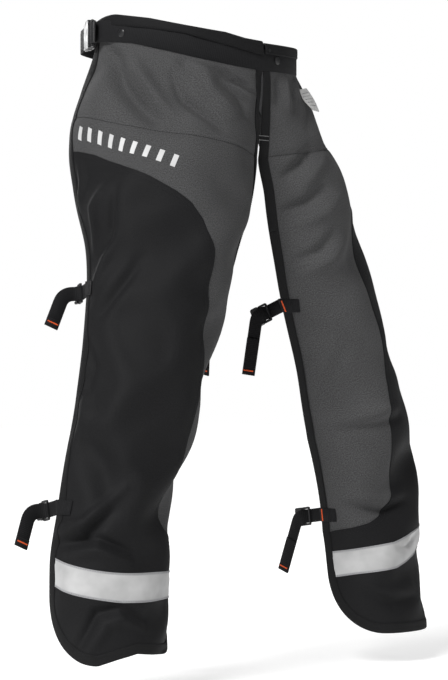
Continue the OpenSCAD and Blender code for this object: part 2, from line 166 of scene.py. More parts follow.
def run_length(p):
    """How far along the polyline each of its points lies."""
    return np.concatenate([[0], np.cumsum(np.linalg.norm(np.diff(p, axis=0), axis=1))])


def turned(degrees):
    """Cosine and sine."""
    return math.cos(math.radians(degrees)), math.sin(math.radians(degrees))


# ---- folds
# Each fold is a line on the leg: drop, degrees, drop, degrees ..., then its half width and its height
# in mm, where minus is a valley. FOLD_DEPTH scales the heights.
FOLDS = {
    RIGHT: [
        [58, 96, 110, 78, 170, 50, 15, -9], [70, 76, 110, 62, 160, 42, 12, 5],
        [86, 50, 130, 38, 186, 10, 8, -4], [60, 38, 110, 26, 150, 8, 16, 6],
        [58, 27, 78, 18, 94, 0, 8, -4], [84, 20, 104, 8, 112, -4, 8, 3],
        [100, 16, 124, 4, 150, -4, 8, -3], [52, 50, 62, 46, 70, 44, 8, -2.5],
        [300, 84, 330, 92, 400, 100, 9, 4], [295, 72, 350, 78, 400, 84, 9, -3],
        [380, 78, 420, 88, 470, 98, 10, 4], [420, 60, 470, 74, 520, 90, 12, -4],
        [250, 106, 280, 104, 330, 108, 10, 3], [870, 92, 855, 62, 800, 34, 10, 5],
        [890, 90, 880, 62, 840, 40, 10, -5], [890, 76, 880, 48, 905, 14, 7, -3.5],
        [905, 76, 900, 48, 915, 20, 9, 4], [1055, 68, 1000, 50, 992, 28, 1015, 2, 8, -4],
        [1060, 56, 1018, 40, 1012, 26, 1035, 2, 10, 3.5], [700, 96, 760, 60, 830, 40, 22, -4],
        [640, 100, 680, 90, 730, 92, 14, 4], [560, 100, 600, 92, 640, 96, 12, -3],
    ],
    LEFT: [
        [56, 20, 90, 12, 130, 4, 8, 5], [56, 10, 90, 4, 120, -4, 8, -5], [60, 34, 90, 26, 105, 20, 7, 5],
        [75, 45, 120, 34, 170, 10, 10, -4], [205, 4, 235, -10, 262, -26, 8, -6],
        [215, 16, 250, -2, 280, -18, 10, 4], [280, 0, 310, -20, 330, -44, 9, -6],
        [290, 12, 325, -8, 350, -36, 11, 4], [360, -8, 395, -26, 415, -52, 9, -5],
        [372, 4, 410, -18, 430, -44, 11, 3.5], [690, 12, 705, -20, 715, -60, 10, -4],
        [672, 12, 685, -20, 697, -60, 12, 3.5], [845, 10, 862, -20, 850, -60, 8, -6],
        [828, 10, 842, -20, 832, -56, 11, 5], [560, -30, 600, -44, 640, -62, 14, -3],
        [905, 30, 925, 8, 930, -10, 6, -4], [985, -60, 1010, -30, 1000, 10, 12, 4],
        [1000, -50, 1030, -20, 1020, 20, 10, -4], [640, 45, 760, 48, 880, 46, 950, 42, 40, 5],
    ],
}


def metric(h, a):
    """Drop and degrees as millimetres on the cloth."""
    return np.stack([h, np.radians(a) * level(h)[..., 2]], -1)


def fold_height(h, a, folds):
    p = metric(h, a)
    total = np.zeros(np.shape(h))
    for *line, width, height in folds:
        line = np.reshape(line, (-1, 2)).astype(float)
        q = metric(line[:, 0], line[:, 1])
        seg, start = np.linalg.norm(np.diff(q, axis=0), axis=1), run_length(q)
        best, at = np.full(np.shape(h), 1e9), np.zeros(np.shape(h))
        for k in range(len(seg)):
            d = (q[k + 1] - q[k]) / seg[k]
            t = np.clip(((p - q[k]) * d).sum(-1), 0, seg[k])
            dist = np.linalg.norm(p - q[k] - t[..., None] * d, axis=-1)
            nearer = dist < best
            best, at = np.where(nearer, dist, best), np.where(nearer, start[k] + t, at)
        along = at / start[-1]
        taper = np.sin(math.pi * np.clip(0.12 + 0.76 * along, 0, 1))
        total += height * taper * np.exp(-(best / width) ** 2)
    return total


# height, length down the leg, length round it (mm), phase
RIPPLES = ((2.2, 310, 170, 0.3), (1.6, 190, 240, 2.1), (1.0, 140, 120, 4.0), (0.7, 95, 160, 1.2))


def ripple(h, a, side):
    """Broad waves, so that no stretch of cloth is a perfect cylinder."""
    q = np.radians(a) * 110
    w = 0.0
    for high, lh, lq, ph in RIPPLES:
        w = w + high * np.sin(2 * math.pi * (h / lh + side * q / lq) + ph + side)
    return w


FOLD_DEPTH = {RIGHT: 2.5, LEFT: 1.5}
# mm: how far the right leg's edge curls in beside the other leg, and the sewn groove above the padding
CURL, SEAM_DEEP, SEAM_HALF = 4, 1.6, 5
HIP_ROWS, LEG_ROWS, CORNER_ROWS, COLUMNS = 95, 181, 33, 121
# how far the hem rides up at each angle
HEM_UP = {RIGHT: [(-40, 8), (-7, 12), (12, 16), (30, 8), (50, -3), (65, -4), (100, 0)],
          LEFT: [(-60, 0), (60, 0)]}


def hem_lift(h, a, side):
    return smooth(h, 1000, HEM) * look_up(HEM_UP[side], a)


# the simulation takes every third grid point and moves it SETTLE_CAP mm at most
SETTLE_STEP, SETTLE_FRAMES, SETTLE_CAP, SLACK = 3, 20, 7.0, 0.03


def settle(leg):
    """Cloth simulation: the cloth is cut a little too large for its held edges, so it buckles into soft
    folds. Returns how far each grid point moves outwards, in mm."""
    pick = (slice(None, None, SETTLE_STEP),) * 2
    grid, h = leg.grid[pick], leg.h[pick]
    r, c = h.shape
    ob = new_object("settling", leg.world(grid.reshape(-1, 3)), grid_faces(r, c), [])
    u = np.linspace(0, 1, c) * np.ones(h.shape)
    loose = smooth(h, TOP + 8, TOP + 30) * smooth(u, 0, 0.1) * smooth(1 - u, 0, 0.1) * smooth(HEM - h, 4, 50)
    group = ob.vertex_groups.new(name="held")
    for k, w in enumerate((1 - 0.93 * loose).ravel()):
        group.add([k], float(w), "REPLACE")
    mod = ob.modifiers.new("cloth", "CLOTH")
    cloth = mod.settings
    cloth.vertex_group_mass = "held"
    cloth.quality, cloth.mass, cloth.air_damping, cloth.pin_stiffness = 6, 0.25, 3.0, 4.0
    cloth.tension_stiffness = cloth.compression_stiffness = 20
    cloth.shear_stiffness, cloth.bending_stiffness = 8, 6
    cloth.shrink_min = cloth.shrink_max = -SLACK
    cloth.effector_weights.gravity = 0.1
    mod.collision_settings.use_collision = False
    mod.point_cache.frame_start, mod.point_cache.frame_end = 1, SETTLE_FRAMES
    for f in range(1, SETTLE_FRAMES + 1):
        SCENE.frame_set(f)
    done = ob.evaluated_get(bpy.context.evaluated_depsgraph_get()).to_mesh()
    moved = np.zeros(len(done.vertices) * 3)
    done.vertices.foreach_get("co", moved)
    moved = moved.reshape(r, c, 3) / MM
    moved[..., 0] *= leg.side
    out = ((moved - grid) * leg.normal[pick]).sum(-1)
    for _ in range(2):
        out[1:-1] = (out[:-2] + 2 * out[1:-1] + out[2:]) / 4
        out[:, 1:-1] = (out[:, :-2] + 2 * out[:, 1:-1] + out[:, 2:]) / 4
    out = SETTLE_CAP * np.tanh(out / SETTLE_CAP)
    bpy.data.objects.remove(ob)
    SCENE.frame_set(1)
    # back to the full grid
    rows, cols = np.arange(leg.h.shape[0]), np.arange(leg.h.shape[1])
    wide = np.stack([np.interp(cols, cols[pick[1]], line) for line in out])
    return np.stack([np.interp(rows, rows[pick[0]], wide[:, k]) for k in cols], 1)


# ---- one leg's cloth
class Leg:
    def __init__(self, side):
        self.side, self.name, self.left = side, SIDES[side], (side + 1) / 2
        rows = np.concatenate([
            np.linspace(TOP, SPLIT, HIP_ROWS), np.linspace(SPLIT, CORNER, LEG_ROWS)[1:],
            hem_corner(CORNER_ROWS)])
        self.rows, self.nu = rows, COLUMNS
        u = np.linspace(0, 1, self.nu)
        self.h = np.repeat(rows[:, None], self.nu, 1)
        self.a = across(self.h, u)
        flat = surf(self.h, self.a, 0, self.left)
        flat[..., 2] += hem_lift(self.h, self.a, side)
        self.normal = self.normals(np.zeros(self.h.shape))
        bump = FOLD_DEPTH[side] * fold_height(self.h, self.a, FOLDS[side]) + ripple(self.h, self.a, side)
        bump -= SEAM_DEEP * np.exp(-((self.h - seam(u)) / SEAM_HALF) ** 2)
        free = smooth(self.h, TOP + 6, TOP + 26)
        held = free * (0.25 + 0.75 * smooth(u, 0, 0.1) * smooth(1 - u, 0, 0.06))
        bump = bump * held
        self.grid = flat + self.normal * bump[..., None]
        bump = bump + settle(self) * held
        if side == RIGHT:
            from_centre = u * np.radians(outer(self.h) - inner(self.h)) * level(self.h)[..., 2]
            bump = bump - CURL * smooth(30 - from_centre, 0, 30) * free * smooth(192 - self.h, 0, 25)
        self.grid = flat + self.normal * bump[..., None]
        self.normal = self.normals(bump)

    def normals(self, bump):
        """Outward directions: the plain surface's own, leaning with the folds' slopes."""
        h, a = self.h, self.a
        up, down, back, on = (surf(h + dh, a + da, 0, self.left)
                              for dh, da in ((-0.5, 0), (0.5, 0), (0, -0.25), (0, 0.25)))
        jh, ja = down - up, (on - back) * 2
        lh, la = length(jh), length(ja)
        n = unit(np.cross(jh, ja))
        by_a = np.gradient(bump, axis=1) / np.gradient(a, axis=1)
        drop = np.gradient(h, axis=0)
        by_h = (np.gradient(bump, axis=0) - by_a * np.gradient(a, axis=0)) / np.maximum(drop, 1e-6)
        # the last rows at the rounded hem lie too close together to give a slope
        below, closest = 200, 1.6
        last = int(np.argmax(drop[below:, 0] < closest)) + below - 1
        by_h[last + 1:] = by_h[last]
        slope = np.clip(by_h, -1, 1)[..., None] * jh / lh ** 2 + by_a[..., None] * ja / la ** 2
        return unit(n - slope)

    def at(self, h, a, d=0.0):
        """Points and normals on the draped cloth, on this leg's own side."""
        h, a = np.broadcast_arrays(h, a)
        last = len(self.rows) - 1.0001
        i = np.minimum(np.interp(h, self.rows, np.arange(len(self.rows))), last)
        lo, hi = inner(h), outer(h)
        j = np.clip((a - lo) / (hi - lo), 0, 1) * (self.nu - 1.0001)
        i0, j0 = i.astype(int), j.astype(int)
        fi, fj = (i - i0)[..., None], (j - j0)[..., None]

        def mix(g):
            return ((g[i0, j0] * (1 - fi) + g[i0 + 1, j0] * fi) * (1 - fj)
                    + (g[i0, j0 + 1] * (1 - fi) + g[i0 + 1, j0 + 1] * fi) * fj)

        n = unit(mix(self.normal))
        d = np.asarray(d, float)
        return mix(self.grid) + n * d[..., None], n

    def way(self, n):
        """Left-leg directions on this side."""
        q = np.array(n, float)
        q[..., 0] *= self.side
        return q

    def world(self, p):
        """Left-leg points (mm) to this side, in metres."""
        return self.way(np.asarray(p, float) * MM)


# ---- meshes
def linked(name, data):
    ob = bpy.data.objects.new(name, data)
    SCENE.collection.objects.link(ob)
    return ob


def new_object(name, verts, faces, mats, uv=None, normals=None):
    mesh = bpy.data.meshes.new(name)
    mesh.from_pydata(np.asarray(verts, float).tolist(), [], faces)
    mesh.update()
    for m in mats:
        mesh.materials.append(m)
    if uv is not None:
        layer = mesh.uv_layers.new(name="UVMap")
        loops = np.zeros(len(mesh.loops), np.int32)
        mesh.loops.foreach_get("vertex_index", loops)
        layer.data.foreach_set("uv", np.asarray(uv, np.float32)[loops].ravel())
    mesh.polygons.foreach_set("use_smooth", np.ones(len(mesh.polygons), bool))
    if normals is not None:
        mesh.normals_split_custom_set_from_vertices(np.asarray(normals, float).tolist())
    return linked(name, mesh)


def grid_faces(r, c, first=0, flip=False):
    i, j = np.meshgrid(np.arange(r - 1), np.arange(c - 1), indexing="ij")
    a = (first + i * c + j).ravel()
    f = np.stack([a, a + c, a + c + 1, a + 1], -1)
    return (f[:, ::-1] if flip else f).tolist()


def sheet_mesh(leg, name, h, a, d_in, d_out, mats):
    """A closed sheet of cloth over a grid of (drop, degrees), between two distances outwards."""
    r, c = h.shape
    po, no = leg.at(h, a, d_out)
    pi, ni = leg.at(h, a, d_in)
    verts = leg.world(np.concatenate([po.reshape(-1, 3), pi.reshape(-1, 3)]))
    flip = leg.side == RIGHT
    faces = grid_faces(r, c, 0, flip) + grid_faces(r, c, r * c, not flip)
    ring = ([j for j in range(c)] + [i * c + c - 1 for i in range(1, r)]
            + [(r - 1) * c + j for j in range(c - 2, -1, -1)] + [i * c for i in range(r - 2, 0, -1)])
    for k, p in enumerate(ring):
        q = ring[(k + 1) % len(ring)]
        f = [p, q, q + r * c, p + r * c]
        faces.append(f[::-1] if flip else f)
    uv = metric(h, a).reshape(-1, 2)[:, ::-1] * MM
    nn = np.concatenate([no.reshape(-1, 3), -ni.reshape(-1, 3)])
    nn[:, 0] *= leg.side
    return new_object(name, verts, faces, mats, np.concatenate([uv, uv]), nn)


def loft_mesh(name, lofts, mats):
    """Closed tubes: each loft is a run of rings, each ring a closed loop of points in metres."""
    verts, faces, uvs = [], [], []
    for rings in lofts:
        rings = np.asarray(rings, float)
        m, n = rings.shape[:2]
        base = sum(len(v) for v in verts)
        for i in range(m - 1):
            a, b = base + i * n, base + (i + 1) * n
            faces += [[a + j, b + j, b + (j + 1) % n, a + (j + 1) % n] for j in range(n)]
        faces += [[base + j for j in range(n)][::-1], [base + (m - 1) * n + j for j in range(n)]]
        along, around = run_length(rings.mean(1)), run_length(rings[m // 2])
        uvs.append(np.stack([np.repeat(along, n), np.tile(around, m)], -1))
        verts.append(rings.reshape(-1, 3))
    ob = new_object(name, np.concatenate(verts), faces, mats, uv=np.concatenate(uvs))
    bm = bmesh.new()
    bm.from_mesh(ob.data)
    bmesh.ops.recalc_face_normals(bm, faces=bm.faces)
    bm.to_mesh(ob.data)
    bm.free()
    return ob


# ---- materials
def principled(name, color, rough, **sockets):
    mat = bpy.data.materials.new(name)
    mat.use_nodes = True
    nt = mat.node_tree
    b = nt.nodes["Principled BSDF"]
    b.inputs["Base Color"].default_value = (*color, 1)
    b.inputs["Roughness"].default_value = rough
    for k, v in sockets.items():
        b.inputs[k.replace("_", " ")].default_value = v
    return mat, nt, b


def node(nt, kind, ins=None, **props):
    n = nt.nodes.new("ShaderNode" + kind)
    for k, v in props.items():
        setattr(n, k, v)
    for k, v in (ins or {}).items():
        if isinstance(v, bpy.types.NodeSocket):
            nt.links.new(v, n.inputs[k])
        else:
            n.inputs[k].default_value = v
    return n


def ramp(nt, fac, stops):
    n = node(nt, "ValToRGB", {"Fac": fac})
    while len(n.color_ramp.elements) < len(stops):
        n.color_ramp.elements.new(0.5)
    for e, (p, c) in zip(n.color_ramp.elements, stops):
        e.position, e.color = p, (*c, 1) if len(c) == 3 else (c[0], c[0], c[0], 1)
    return n.outputs["Color"]


def noise(nt, place, scale, detail, **more):
    return node(nt, "TexNoise", {"Vector": place, "Scale": scale, "Detail": detail, **more}).outputs["Fac"]


def times(nt, a, b):
    return node(nt, "Mix", {0: 1.0, 6: a, 7: b}, data_type="RGBA", blend_type="MULTIPLY").outputs[2]


def dent(nt, b, height, strength, deep):
    """Bump on material b."""
    bump = node(nt, "Bump", {"Height": height, "Strength": strength, "Distance": deep})
    nt.links.new(bump.outputs[0], b.inputs["Normal"])


def woven(name, color, pitch=0.0011, heather=0.25, rough=0.85, sheen=0.03, bump=0.35, space="UV", ribs=0):
    """Plain-weave cloth: crossing threads, heathered colour and a little wear, with cross ribs if asked.
    Rib grooves carry painted shade and rib crests a painted highlight. pitch and ribs in metres."""
    mat, nt, b = principled(name, color, rough, Sheen_Weight=sheen, Sheen_Roughness=0.5,
                            Specular_IOR_Level=0.15)
    uv = node(nt, "TexCoord").outputs[space]

    def bands(way, p):
        wave = {"Vector": uv, "Scale": math.pi / p / 10, "Distortion": 0.4, "Detail": 0.0}
        return node(nt, "TexWave", wave, bands_direction=way).outputs["Fac"]

    weave = node(nt, "Math", {0: bands("X", pitch), 1: bands("Y", pitch)}, operation="MULTIPLY").outputs[0]
    fine = noise(nt, uv, 520.0, 3.0, Roughness=0.75)
    broad = noise(nt, uv, 14.0, 4.0)
    light = tuple(min(1, c * (1 + heather)) for c in color)
    dark = tuple(c * (1 - heather) for c in color)
    yarn = ramp(nt, fine, [(0.36, dark), (0.64, light)])
    wear_and_painted_rib_shade = ramp(nt, broad, [(0.35, (0.9,)), (0.7, (1.0,))])
    if ribs:
        rib = bands("X", ribs)
        # painted shade in the rib grooves and a painted highlight on the rib crests, multiplied into the colour
        wear_and_painted_rib_shade = times(nt, wear_and_painted_rib_shade, ramp(nt, rib, [(0.1, (0.55,)), (0.6, (1.15,))]))
    nt.links.new(times(nt, yarn, wear_and_painted_rib_shade), b.inputs["Base Color"])
    height = node(nt, "Math", {0: weave, 1: fine}, operation="ADD").outputs[0]
    if ribs:
        height = node(nt, "Math", {0: height, 1: rib}, operation="ADD").outputs[0]
    dent(nt, b, height, bump, 0.0005)
    return mat


def plastic(name, color, rough=0.38):
    mat, nt, b = principled(name, color, rough, Specular_IOR_Level=0.45)
    pos = node(nt, "TexCoord").outputs["Object"]
    grain = noise(nt, pos, 1400.0, 2.0)
    scuff = noise(nt, pos, 60.0, 4.0)
    nt.links.new(ramp(nt, scuff, [(0.35, (rough - 0.08,)), (0.7, (rough + 0.14,))]), b.inputs["Roughness"])
    dent(nt, b, grain, 0.12, 0.0002)
    return mat


def reflective(name, low=0.36, high=0.52):
    """Silver tape: faint soft shades across it and a fine beaded grain."""
    mat, nt, b = principled(name, (low, low, low), 0.5, Specular_IOR_Level=0.3)
    uv = node(nt, "TexCoord").outputs["UV"]
    cloud = noise(nt, uv, 18.0, 3.0)
    nt.links.new(ramp(nt, cloud, [(0.3, (low,)), (0.7, (high,))]), b.inputs["Base Color"])
    dent(nt, b, noise(nt, uv, 1500.0, 1.0), 0.1, 0.0002)
    return mat


GREY = woven("grey_cloth", (0.062, 0.062, 0.063), heather=0.5)
BLACK = woven("black_cloth", (0.0085, 0.0085, 0.0092), heather=0.4, rough=0.7, bump=0.25, sheen=0.015)
TAPE = woven("binding_cloth", (0.0095, 0.0095, 0.010), pitch=0.0016, heather=0.3, rough=0.8)
LININGS = woven("lining_cloth", (0.04, 0.04, 0.042), pitch=0.002, heather=0.3, bump=0.5)
WEBBING = woven("webbing_cloth", (0.0105, 0.0105, 0.0115), pitch=0.0014, heather=0.3, rough=0.75, ribs=0.0032)
BAND = reflective("reflective_cloth")
BORDER = woven("reflective_border", (0.36, 0.36, 0.37), pitch=0.0012, heather=0.12, rough=0.6)
ORANGE, THREAD, GREY_THREAD = (
    woven(name, color, heather=0.1, rough=rough, space="Object") for name, color, rough in (
    ("orange_thread", (0.86, 0.13, 0.035), 0.6), ("black_thread", (0.008, 0.008, 0.009), 0.6),
    ("grey_thread", (0.14, 0.14, 0.14), 0.7)))
WHITE = woven("label_cloth", (0.8, 0.8, 0.79), pitch=0.0005, heather=0.03, rough=0.6, bump=0.1)
PLASTIC = plastic("buckle_plastic", (0.012, 0.012, 0.013))
PRINT = reflective("reflective_print", 0.5, 0.62)
METAL = plastic("snap_metal", (0.018, 0.018, 0.02), 0.3)

# ---- the legs, and each cloth piece's transform baked into its mesh
LEGS = {s: Leg(s) for s in (RIGHT, LEFT)}


def cross_hip(ob, leg):
    """Only bakes the piece's transform into its mesh; the slanted crossing from crotch to hip is not built."""
    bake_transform(ob)


def cross_knee(ob, leg):
    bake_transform(ob)


CROSS = {"hip": cross_hip, "leg": cross_knee}


def place(ob, slot, body, *stands_for):
    """The piece's material slot, which is not used, the body it rides and the CAD nodes it replaces."""
    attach(ob, body)
    if stands_for:
        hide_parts(*stands_for)


# ---- stitches
def threads(starts, ends, normals, thick):
    """Short raised threads in metres, each a low bar that dips in at both ends: points and faces."""
    t = ends - starts
    long_ = np.linalg.norm(t, axis=1, keepdims=True)
    t = t / long_
    b = unit(np.cross(t, normals))
    rings = []
    for f, lift in ((0, 0), (0.25, 0.6), (0.75, 0.6), (1, 0)):
        for x, y in ((-1, 0), (-0.6, 0.8), (0.6, 0.8), (1, 0)):
            up = thick * (0.6 * y + lift - 0.27)
            rings.append(starts + t * long_ * f + b * (x * thick / 2) + normals * up)
    points = np.stack(rings, 1).reshape(-1, 3)
    one = [[4 * e + j, 4 * e + (j + 1) % 4, 4 * e + 4 + (j + 1) % 4, 4 * e + 4 + j]
           for e in range(3) for j in range(4)]
    one += [[3, 2, 1, 0], [12, 13, 14, 15]]
    faces = (np.array(one)[None] + 16 * np.arange(len(starts))[:, None, None]).reshape(-1, 4)
    return points, faces


def thread_object(name, parts, mat):
    """One object from several lots of threads."""
    base, points, faces = 0, [], []
    for p, f in parts:
        points.append(p)
        faces += (f + base).tolist()
        base += len(p)
    ob = new_object(name, np.concatenate(points), faces, [mat])
    return ob


def along_line(p, n, pitch=4.2, length=2.7, thick=0.55):
    """A row of stitches along points p (metres) with normals n."""
    s = run_length(p)
    c = np.arange(pitch * MM / 2, s[-1] - length * MM / 2, pitch * MM)

    def at(values, where):
        return np.stack([np.interp(where, s, values[:, k]) for k in range(3)], -1)

    return threads(at(p, c - length * MM / 2), at(p, c + length * MM / 2), unit(at(n, c)), thick * MM)


def stitch_mesh(leg, name, lines, mat, d=0.3, **row):
    """Rows of stitches along lines of (drop, degrees, distance outwards)."""
    parts = []
    for line in lines:
        line = np.asarray(line, float)
        p, n = leg.at(line[:, 0], line[:, 1], line[:, 2] if line.shape[1] > 2 else d)
        parts.append(along_line(leg.world(p), leg.way(n), **row))
    return thread_object(name, parts, mat)


def bartack(centre, way, normal, long_, wide, pitch=0.7):
    """A dense bar of stitches: way is the direction of the bar, all in metres but the sizes in mm."""
    way, normal = unit(way), unit(normal)
    over = np.cross(normal, way)
    c = np.arange(-long_ / 2, long_ / 2 + 0.01, pitch)[:, None] * MM
    lean = 0.3 * pitch * MM
    starts = centre + way * (c - lean) - over * wide * MM / 2
    ends = centre + way * (c + lean) + over * wide * MM / 2
    return threads(starts, ends, np.repeat(normal[None], len(c), 0), 0.85 * MM)


# ---- leg panels
# thicknesses and distances out from the cloth's face, in mm; OVERLAY_ROWS are its two rows of stitches
CLOTH_THICK, LINING_THICK, TAPE_THICK = 0.9, 0.7, 0.75
LINING_OUT, LINING_EDGE, LINING_HIP, LINING_RAMP = -7.4, -3.6, -1.9, 26
OVERLAY, OVERLAY_ROWS = (0.15, 1.15), (2.5, 9.0)
BAND_AT, BAND_WIDE, BAND_LOW, BAND_HIGH = 938, 47, 1.2, 1.75
TAPE_ARMS = (15, 12, 8, 4, 0.5)


def overlay_from(h, side):
    edge = look_up(OVERLAY_EDGE, h) + look_up(PATTERN_TURN[side], h)
    return np.maximum(inner(h), np.minimum(outer(h) - 3, edge))


def overlay_line(side, h0, h1, inset):
    """The overlay's front edge as (drop, degrees), moved in by inset mm."""
    h = np.linspace(232, 903, 420)
    p = metric(h, overlay_from(h, side))
    t = unit(np.gradient(p, axis=0))
    q = p + inset * np.stack([-t[:, 1], t[:, 0]], -1)
    a = np.degrees(q[:, 1] / level(q[:, 0])[:, 2])
    keep = (q[:, 0] >= h0) & (q[:, 0] <= h1) & (a < outer(q[:, 0]) - 5) & (a > inner(q[:, 0]) + 5)
    return np.stack([q[:, 0], a], -1)[keep]


def padded(h, u):
    """0 on the thin cloth above the seam, 1 on the padded leg below it."""
    return smooth(h, seam(u) - 6, seam(u) + 10)


def build_leg(leg):
    s = leg.name
    for part, rows in (("hip", slice(0, HIP_ROWS)), ("leg", slice(HIP_ROWS - 1, None))):
        h, a = leg.h[rows], leg.a[rows]
        cloth = sheet_mesh(leg, f"{part}_cloth_{s}", h, a, -CLOTH_THICK, 0, [GREY])
        u = np.linspace(0, 1, leg.nu) * np.ones(h.shape)
        width = np.radians(outer(h) - inner(h)) * level(h)[..., 2]
        from_edge = np.minimum(np.minimum(u, 1 - u) * width, HEM - h)
        lo = LINING_EDGE + (LINING_OUT - LINING_EDGE) * smooth(from_edge, 2, LINING_RAMP)
        if part == "hip":
            lo = LINING_HIP + (lo - LINING_HIP) * padded(h, u)
        h2, a2, lo2 = (grid[::2, ::2] for grid in (h, a, lo))
        lining = sheet_mesh(leg, f"{part}_lining_{s}", h2, a2, lo2, lo2 + LINING_THICK, [LININGS])
        if part == "hip":
            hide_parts(f"upper_panel_{s}")
        else:
            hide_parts(f"thigh_shell_{s}", f"shin_shell_{s}")
            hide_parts(f"thigh_pad_{s}", f"shin_pad_{s}")
        for ob in (cloth, lining):
            CROSS[part](ob, leg)


def build_overlay(leg):
    """The black overlay: a side panel that sweeps forward round the shin."""
    s, (low, high) = leg.name, OVERLAY
    first, last = OVERLAY_EDGE[0, 0], OVERLAY_EDGE[-1, 0]
    hip = np.concatenate([np.linspace(first + 3, 262, 22), np.linspace(262, SPLIT, 44)[1:]])
    shin = np.concatenate([np.linspace(SPLIT, 840, 130), np.linspace(840, last + 2, 60)[1:],
                           np.linspace(last + 2, CORNER, 22)[1:], leg.rows[leg.rows > CORNER]])
    for part, hs, n in (("hip", hip, 70), ("leg", shin, 110)):
        start = overlay_from(hs, leg.side)
        a = start[:, None] + np.linspace(0, 1, n) * (outer(hs) - start)[:, None]
        ob = sheet_mesh(leg, f"{part}_overlay_{s}", np.repeat(hs[:, None], n, 1), a, low, high, [BLACK])
        CROSS[part](ob, leg)
        if part == "hip":
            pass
        else:
            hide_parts(f"thigh_overlay_{s}", f"shin_overlay_{s}")
    for part, h0, h1 in (("hip", first + 4, SPLIT - 1), ("leg", SPLIT + 1, last)):
        rows = [overlay_line(leg.side, h0, h1, inset) for inset in OVERLAY_ROWS]
        lines = [np.column_stack([row, np.full(len(row), high)]) for row in rows if len(row) > 3]
        CROSS[part](stitch_mesh(leg, f"{part}_overlay_stitches_{s}", lines, THREAD), leg)
    # the seam above the padding
    u = np.linspace(0.03, 0.97, 90)
    row = [np.stack([seam(u), across(seam(u), u)], -1)]
    cross_hip(stitch_mesh(leg, f"pad_seam_{s}", row, THREAD, d=0.1, thick=0.85), leg)


def band_top(a, side):
    rise = np.interp(a, [-90, -52, -14, 13, 40], [0, 10, 20, 35, 42]) if side == LEFT else 0
    return BAND_AT - 30 * np.maximum(0, a / 105) ** 2 - rise


def build_band(leg):
    lo, hi = float(inner(940)) + 7.6, float(outer(940)) - 7.6
    a = np.linspace(lo, hi, 130)
    tuck = smooth(a, lo, lo + 2.5) * smooth(-a, -hi, 2.5 - hi)
    # across the band, in mm from its upper edge: a border, the silver, a border
    k = np.array([0, 0.8, 3.2, 3.6, 8, 14, 20, 26, 32, 38, 43.4, 43.8, 46.2, BAND_WIDE])
    h = band_top(a, leg.side) + k[:, None]
    aa = a + 0 * k[:, None]
    lean = aa + leg.side * k[:, None] / 3
    crinkle = (1 + np.sin(lean / 6.0 + 0.6) * np.sin(lean / 15 + 1) + 0.35 * np.sin(lean / 2.7))
    crinkle = np.maximum(crinkle, 0) * smooth(k, 3.6, 14)[:, None] * smooth(BAND_WIDE - k, 3.6, 14)[:, None]
    lip = np.where((k < 3.4) | (k > 43.6), 0.3, 0.0)[:, None]
    ob = sheet_mesh(leg, f"reflective_band_{leg.name}_cloth", h, aa, BAND_LOW,
                    BAND_HIGH + (lip + crinkle) * tuck, [BAND, BORDER])
    kinds = np.zeros(len(ob.data.polygons), np.int32)
    rows, across_row = len(k) - 1, len(a) - 1
    for r in (0, 1, 2, rows - 3, rows - 2, rows - 1):
        kinds[r * across_row:(r + 1) * across_row] = 1
    ob.data.polygons.foreach_set("material_index", kinds)
    place(ob, "reflective_tape", f"shin_{leg.name}", f"reflective_band_{leg.name}")
    lines = [np.stack([band_top(a, leg.side) + off, a, 1.8 + 0.3 * tuck], -1)
             for off in (1.7, BAND_WIDE - 1.7)]
    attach(stitch_mesh(leg, f"band_stitches_{leg.name}", lines, GREY_THREAD, thick=0.5), f"shin_{leg.name}")


def edge_path(part):
    """The cloth's bound edges as runs of (drop, u)."""
    if part == "hip":
        h = np.linspace(TOP, SPLIT, 80)
        return [np.stack([h, np.full(80, u)], -1) for u in (0, 1)]
    down = np.concatenate([np.linspace(SPLIT, CORNER, 150), hem_corner(40)])
    left = np.stack([down, np.zeros(len(down))], -1)
    floor = np.stack([np.full(40, HEM), np.linspace(0, 1, 42)[1:-1]], -1)
    right = np.stack([down[::-1], np.ones(len(down))], -1)
    return [np.concatenate([left, floor, right])]


def step_in(leg, h, a, out, w):
    """The (drop, degrees) that lie w mm inwards from an edge, against the outward direction."""
    dh, da = 1.0, 0.6
    h1 = np.clip(h - 2, TOP, HEM)
    base = surf(h1, a, 0, leg.left)
    jh = (surf(h1 + dh, a, 0, leg.left) - base) / dh
    ja = (surf(h1, a + da, 0, leg.left) - base) / da
    rhs = -out * w
    g11, g12, g22 = (jh * jh).sum(1), (jh * ja).sum(1), (ja * ja).sum(1)
    b1, b2 = (jh * rhs).sum(1), (ja * rhs).sum(1)
    det = g11 * g22 - g12 ** 2
    return np.clip(h + (g22 * b1 - g12 * b2) / det, TOP, HEM), a + (g11 * b2 - g12 * b1) / det


